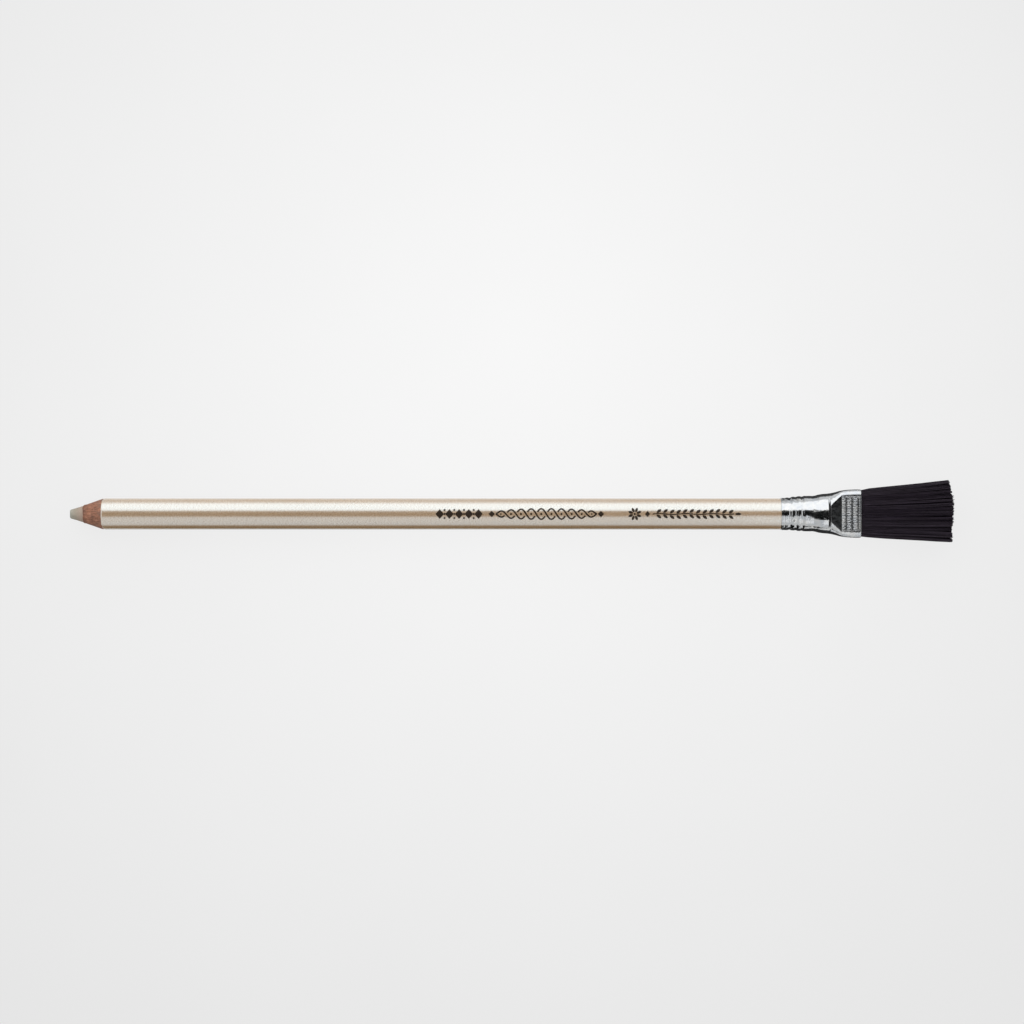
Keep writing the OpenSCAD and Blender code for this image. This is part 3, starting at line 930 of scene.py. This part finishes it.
def bristles(name, share):
    """One share of the tuft's filaments, which gather in small clumps towards their cut ends."""
    rng = np.random.default_rng(41)
    spots = bristle_spots(rng)
    count = len(spots)
    clumps = np.stack([rng.uniform(-1, 1, CLUMPS), rng.uniform(-1, 1, CLUMPS)], axis=1)
    gap_u, gap_v = spots[:, :1] - clumps[:, 0], spots[:, 1:] - clumps[:, 1]
    nearest = (gap_u**2 * TUFT_ASPECT**2 + gap_v**2).argmin(1)
    # How far clumps and single bristles lean and bend, across the width and the thickness
    lean = [0.011, 0.030] * rng.normal(0, 1, (CLUMPS, 2))[nearest]
    stray = [0.006, 0.018] * rng.normal(0, 1, (count, 2))
    bend = [0.004, 0.016] * rng.normal(0, 1, (count, 2))
    end = curve(TUFT_END, spots[:, 0]) - rng.gamma(1.3, 0.16, count)
    uncut = (rng.random(count) < 0.05) & (np.abs(spots[:, 0]) < 0.5)
    end[uncut] += rng.uniform(0.1, 0.5, uncut.sum())
    end = np.clip(end, *CUT_RANGE)
    radius = rng.uniform(*BRISTLE_R, count)
    turn = rng.uniform(0, TAU, count)
    sides, levels = 5, np.array([0.0, 0.05, 0.13, 0.3, 0.5, 0.7, 0.86, 1.0])
    rings = []
    for t in levels:
        s = BRISTLE_START + (end - BRISTLE_START) * t
        pull = 0.30 * t**3
        uv = spots * (1 - pull) + clumps[nearest] * pull
        uv = uv + lean * t + stray * t**1.5 + bend * math.sin(math.pi * t)
        u, v = uv.T
        top, low = curve(TUFT_TOP, s), curve(TUFT_BOTTOM, s)
        half_t = curve(TUFT_HALF_T, s) * np.sqrt(1 - 0.30 * np.abs(np.clip(u, -1, 1)) ** 7)
        y = (top + low) / 2 + u * (top - low) / 2
        z = v * half_t
        for k in range(sides):
            angle = turn + TAU * k / sides
            rings.append(place(s, y + radius * np.cos(angle), z + radius * np.sin(angle)))
    picked = np.arange(count) % BRISTLE_SHARES == share
    rings = np.array(rings).reshape(len(levels), sides, count, 3)[:, :, picked]
    filaments = [solid_of_rings(rings[:, :, k]) for k in range(rings.shape[2])]
    return add_mesh(name, *merged(filaments), NYLON, 60)


def bristle_roots():
    """The slice of set roots just inside the mouth."""
    rings = []
    for s, gap in ((183.02, 0.06), (183.05, 0.03), (183.5, 0.01), (183.62, 0.06), (183.68, 0.46)):
        points, _ = section(s, SHEET_T + gap, 24)
        rings.append(place(s, points[:, 0], points[:, 1]))
    return add_mesh("bristle_roots", *solid_of_rings(np.array(rings)), NYLON, 50)


# Pieces, the CAD nodes that they stand for and their slots

pieces = [
    (eraser_rod(), "eraser_rubber", "eraser_core"),
    (cedar_half("cedar_upper", 1), "cedar", "upper_slat"),
    (cedar_half("cedar_lower", -1), "cedar", "lower_slat"),
    (glue_seams(), "glue", "slat_glue"),
    (lacquer_skin(), "lacquer", "lacquer_coat"),
    (ornament_chain(), "lacquer", None),
    (ornament_braid(), "lacquer", None),
    (ornament_garland(), "lacquer", None),
    (ferrule_shell(), "nickel", "ferrule"),
    (bristle_roots(), "nylon", "bristle_tuft"),
]
for share in range(BRISTLE_SHARES):
    pieces.append((bristles("bristles_" + "abc"[share], share), "nylon", "bristle_tuft"))

for piece, slot, stands_for in pieces:
    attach(piece, "root")
    if stands_for:
        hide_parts(stands_for)

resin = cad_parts["root_resin"]
resin.data.materials.clear()
resin.data.materials.append(RESIN)


# Floor, lights and camera, in metres but for the names that end in MM

# The ferrule's shoulder rests on the floor at REST_X, and the floor rises from there to the tip
REST_X = 0.0738
REST_SLOPE = 0.00709
REST_GAP = 0.00002
FLOOR_REACH = 3.0
FLOOR_GREY = 0.6
FLOOR_GLOW = 0.86
FLOOR_STRENGTH = 1.05
# Painted pool of light on the floor: its tones at shares of FADE_R_MM from its brightest point,
# which is off the axis
BRIGHTEST_Y_MM = 40.5
FADE_R_MM = 200
PAINTED_POOL_TONES = [
    (0.0, srgb(249, 249, 249)), (0.15, srgb(247, 247, 247)), (0.325, srgb(244, 244, 244)),
    (0.585, srgb(239, 239, 239)), (0.78, srgb(235, 235, 235)), (1.0, srgb(231, 231, 231)),
]
# The soft box, upright on the +Y side
KEY_SIZE = (1.8, 1.3)
KEY_PLACE = (0, 0.62, 0.72)
KEY_RADIANCE = 0.72
# The camera, with its place across the pencil and above the axis
LENS_MM = 100
SENSOR_MM = 36
CAMERA_Y = 0.000466
CAMERA_ABOVE_AXIS = 0.6625
# The cards: how dark black is, where the painted-shadow cards lie along the barrel and the ferrule,
# and how far above the floor
BLACK = 0.006
BARREL_X = (-0.106, 0.0628)
FERRULE_X = (0.0632, 0.088)
CARD_LIFT = 0.0004


def floor_z(x):
    """Height of the floor. It tilts by a hair, so that shoulder and barrel both rest on it."""
    return (REST_X - x) * REST_SLOPE - REST_GAP


def flat_object(name, points, faces, material):
    """An object of flat faces, linked to the scene."""
    mesh = bpy.data.meshes.new(name)
    mesh.from_pydata(points, [], faces)
    mesh.materials.append(material)
    obj = bpy.data.objects.new(name, mesh)
    bpy.context.scene.collection.objects.link(obj)
    return obj


def floor_material():
    """Pale paper. Most of the tone that is seen is a glow, and the lit rest takes the shadow."""
    n = Nodes("floor", Roughness=0.9, **{"Specular IOR Level": 0.0})
    # Painted pool of light: the paper is brightest at a point off the axis and darker farther out.
    from_brightest = n.add("VectorMath", {0: n.mm, 1: (0, -BRIGHTEST_Y_MM, 0)}, operation="ADD")
    distance = n.add("VectorMath", {0: from_brightest.outputs[0]}, operation="LENGTH")
    tone = n.ramp(n.range(distance.outputs["Value"], 0, FADE_R_MM, 0, 1), PAINTED_POOL_TONES)
    paper = n.noise(n.mm, 0.02, 2)
    grain = n.ramp(paper, [(0.3, (0.992,) * 3), (0.7, (1.0,) * 3)])
    colour = n.times(tone, grain)
    n.link(n.times(colour, (FLOOR_GREY, FLOOR_GREY, FLOOR_GREY, 1)), "Base Color")
    glow = n.add("Emission", {"Color": colour, "Strength": FLOOR_STRENGTH}).outputs[0]
    share = n.math("MULTIPLY", seen_rays(n.tree), FLOOR_GLOW)
    mixed = n.add("MixShader", {0: share, 1: n.shader.outputs[0], 2: glow}).outputs[0]
    n.tree.links.new(mixed, n.output.inputs["Surface"])
    return n.material


def stage_floor():
    """A wide pale floor with a painted pool of light, which fades a little towards the picture's
    corners.
    """
    steps = 24
    line = np.linspace(-FLOOR_REACH, FLOOR_REACH, steps + 1)
    x, y = np.meshgrid(line, line, indexing="ij")
    points = np.stack([x, y, floor_z(x)], axis=-1).reshape(-1, 3).tolist()
    faces = []
    for i in range(steps):
        for j in range(steps):
            a = i * (steps + 1) + j
            faces.append([a, a + steps + 1, a + steps + 2, a + 1])
    floor = flat_object("stage_floor", points, faces, floor_material())
    return floor


def stage_card(name, corners, grey=BLACK):
    """A plain card that only mirror-like surfaces see, as in a product photographer's set."""
    n = Nodes("card_" + name, Roughness=1.0, **{"Specular IOR Level": 0.0})
    speck = n.noise(n.mm, 0.05, 1)
    n.link(n.ramp(speck, [(0.3, (grey * 0.8,) * 3), (0.7, (grey * 1.2,) * 3)]), "Base Color")
    card = flat_object("card_" + name, corners, [[0, 1, 2, 3]], n.material)
    for rays in ("camera", "diffuse", "shadow", "transmission", "volume_scatter"):
        setattr(card, "visible_" + rays, False)
    return card


def floor_shadow_card(name, x, y, grey=BLACK, slant=0.0):
    """A card that lies on the floor, a painted shadow: a dark sheet where the pencil's shadow lies,
    seen only in reflections. slant lengthens the edge that is farther from the pencil.
    """
    reach = [x[1] + slant * (abs(b) == max(map(abs, y))) for b in y]
    flat = ((x[0], y[0]), (reach[0], y[0]), (reach[1], y[1]), (x[0], y[1]))
    return stage_card(name, [(a, b, floor_z(a) + CARD_LIFT) for a, b in flat], grey)


def straight_card(name, x, y, z, grey=BLACK):
    """A level or upright card. Two of x, y and z are (low, high) pairs and one is a number."""
    corners = []
    for a, b in ((0, 0), (1, 0), (1, 1), (0, 1)):
        picks = iter((a, b))
        corners.append([v[next(picks)] if isinstance(v, tuple) else v for v in (x, y, z)])
    return stage_card(name, corners, grey)


def world_light(soft, seen):
    """A plain pale surround, given as its brightness on the -Y side and on the +Y side.

    soft is what lights matt surfaces, and seen is what the camera and metal see.
    """
    world = bpy.data.worlds.new("surround")
    world.use_nodes = True
    tree = world.node_tree
    tree.nodes.clear()
    direction = add_node(tree, "TexCoord").outputs["Generated"]
    side = add_node(tree, "SeparateXYZ", {0: direction}).outputs[1]

    def shine(low, high):
        """A white surround, low in brightness on the -Y side and high on the +Y side."""
        ends = {"From Min": -0.4, "From Max": 0.4, "To Min": low, "To Max": high}
        strength = add_node(tree, "MapRange", {"Value": side, **ends}).outputs[0]
        white = {"Color": (1, 1, 1, 1), "Strength": strength}
        return add_node(tree, "Background", white).outputs[0]

    mix = add_node(tree, "MixShader", {0: seen_rays(tree), 1: shine(*soft), 2: shine(*seen)})
    add_node(tree, "OutputWorld", {0: mix.outputs[0]})
    bpy.context.scene.world = world


def key_light():
    """A wide upright soft box on the +Y side."""
    data = bpy.data.lights.new("key", "AREA")
    data.shape = "RECTANGLE"
    data.size, data.size_y = KEY_SIZE
    data.energy = KEY_RADIANCE * math.pi * data.size * data.size_y
    lamp = bpy.data.objects.new("key", data)
    lamp.location = KEY_PLACE
    lamp.rotation_euler = (math.radians(-90), 0, 0)
    lamp.visible_camera = False
    bpy.context.scene.collection.objects.link(lamp)
    return lamp


def overhead_camera():
    """Straight above the pencil, at the distance that gives the photograph's frame."""
    data = bpy.data.cameras.new("camera")
    data.lens = LENS_MM
    data.sensor_width = SENSOR_MM
    data.clip_start = 0.01
    camera = bpy.data.objects.new("camera", data)
    camera.location = (0, CAMERA_Y, CAMERA_ABOVE_AXIS + AXIS_HEIGHT / 1000)
    bpy.context.scene.collection.objects.link(camera)
    bpy.context.scene.camera = camera
    return camera


stage_floor()

# The dark band along barrel and ferrule, then the dark facets at the neck
straight_card("above", (-0.6, 0.5), (-0.28, 0.35), 0.8)
straight_card("end", 0.36, (0.001, 0.4), (0.0, 0.2))
straight_card("end_grey", 0.36, (-0.4, 0.001), (0.0, 0.2), 0.07)

# The dark lines along the edges of barrel and ferrule, from painted shadow: dark cards on the floor
# where the pencil's shadow lies.
# Then the ferrule's pale lower half
floor_shadow_card("barrel_near", BARREL_X, (-0.2, -0.0078), slant=0.034)
floor_shadow_card("barrel_far", BARREL_X, (0.008, 0.045), 0.5, 0.008)
floor_shadow_card("ferrule_near", FERRULE_X, (-0.017, -0.0048), 0.045)
floor_shadow_card("ferrule_far", FERRULE_X, (0.0055, 0.017), 0.06)
straight_card("ferrule_low", (0.064, 0.105), -0.06, (0.03, 0.3), 0.95)

world_light(soft=(0.66, 1.05), seen=(0.72, 0.84))
key_light()
overhead_camera()
bpy.context.scene.view_settings.view_transform = "Standard"
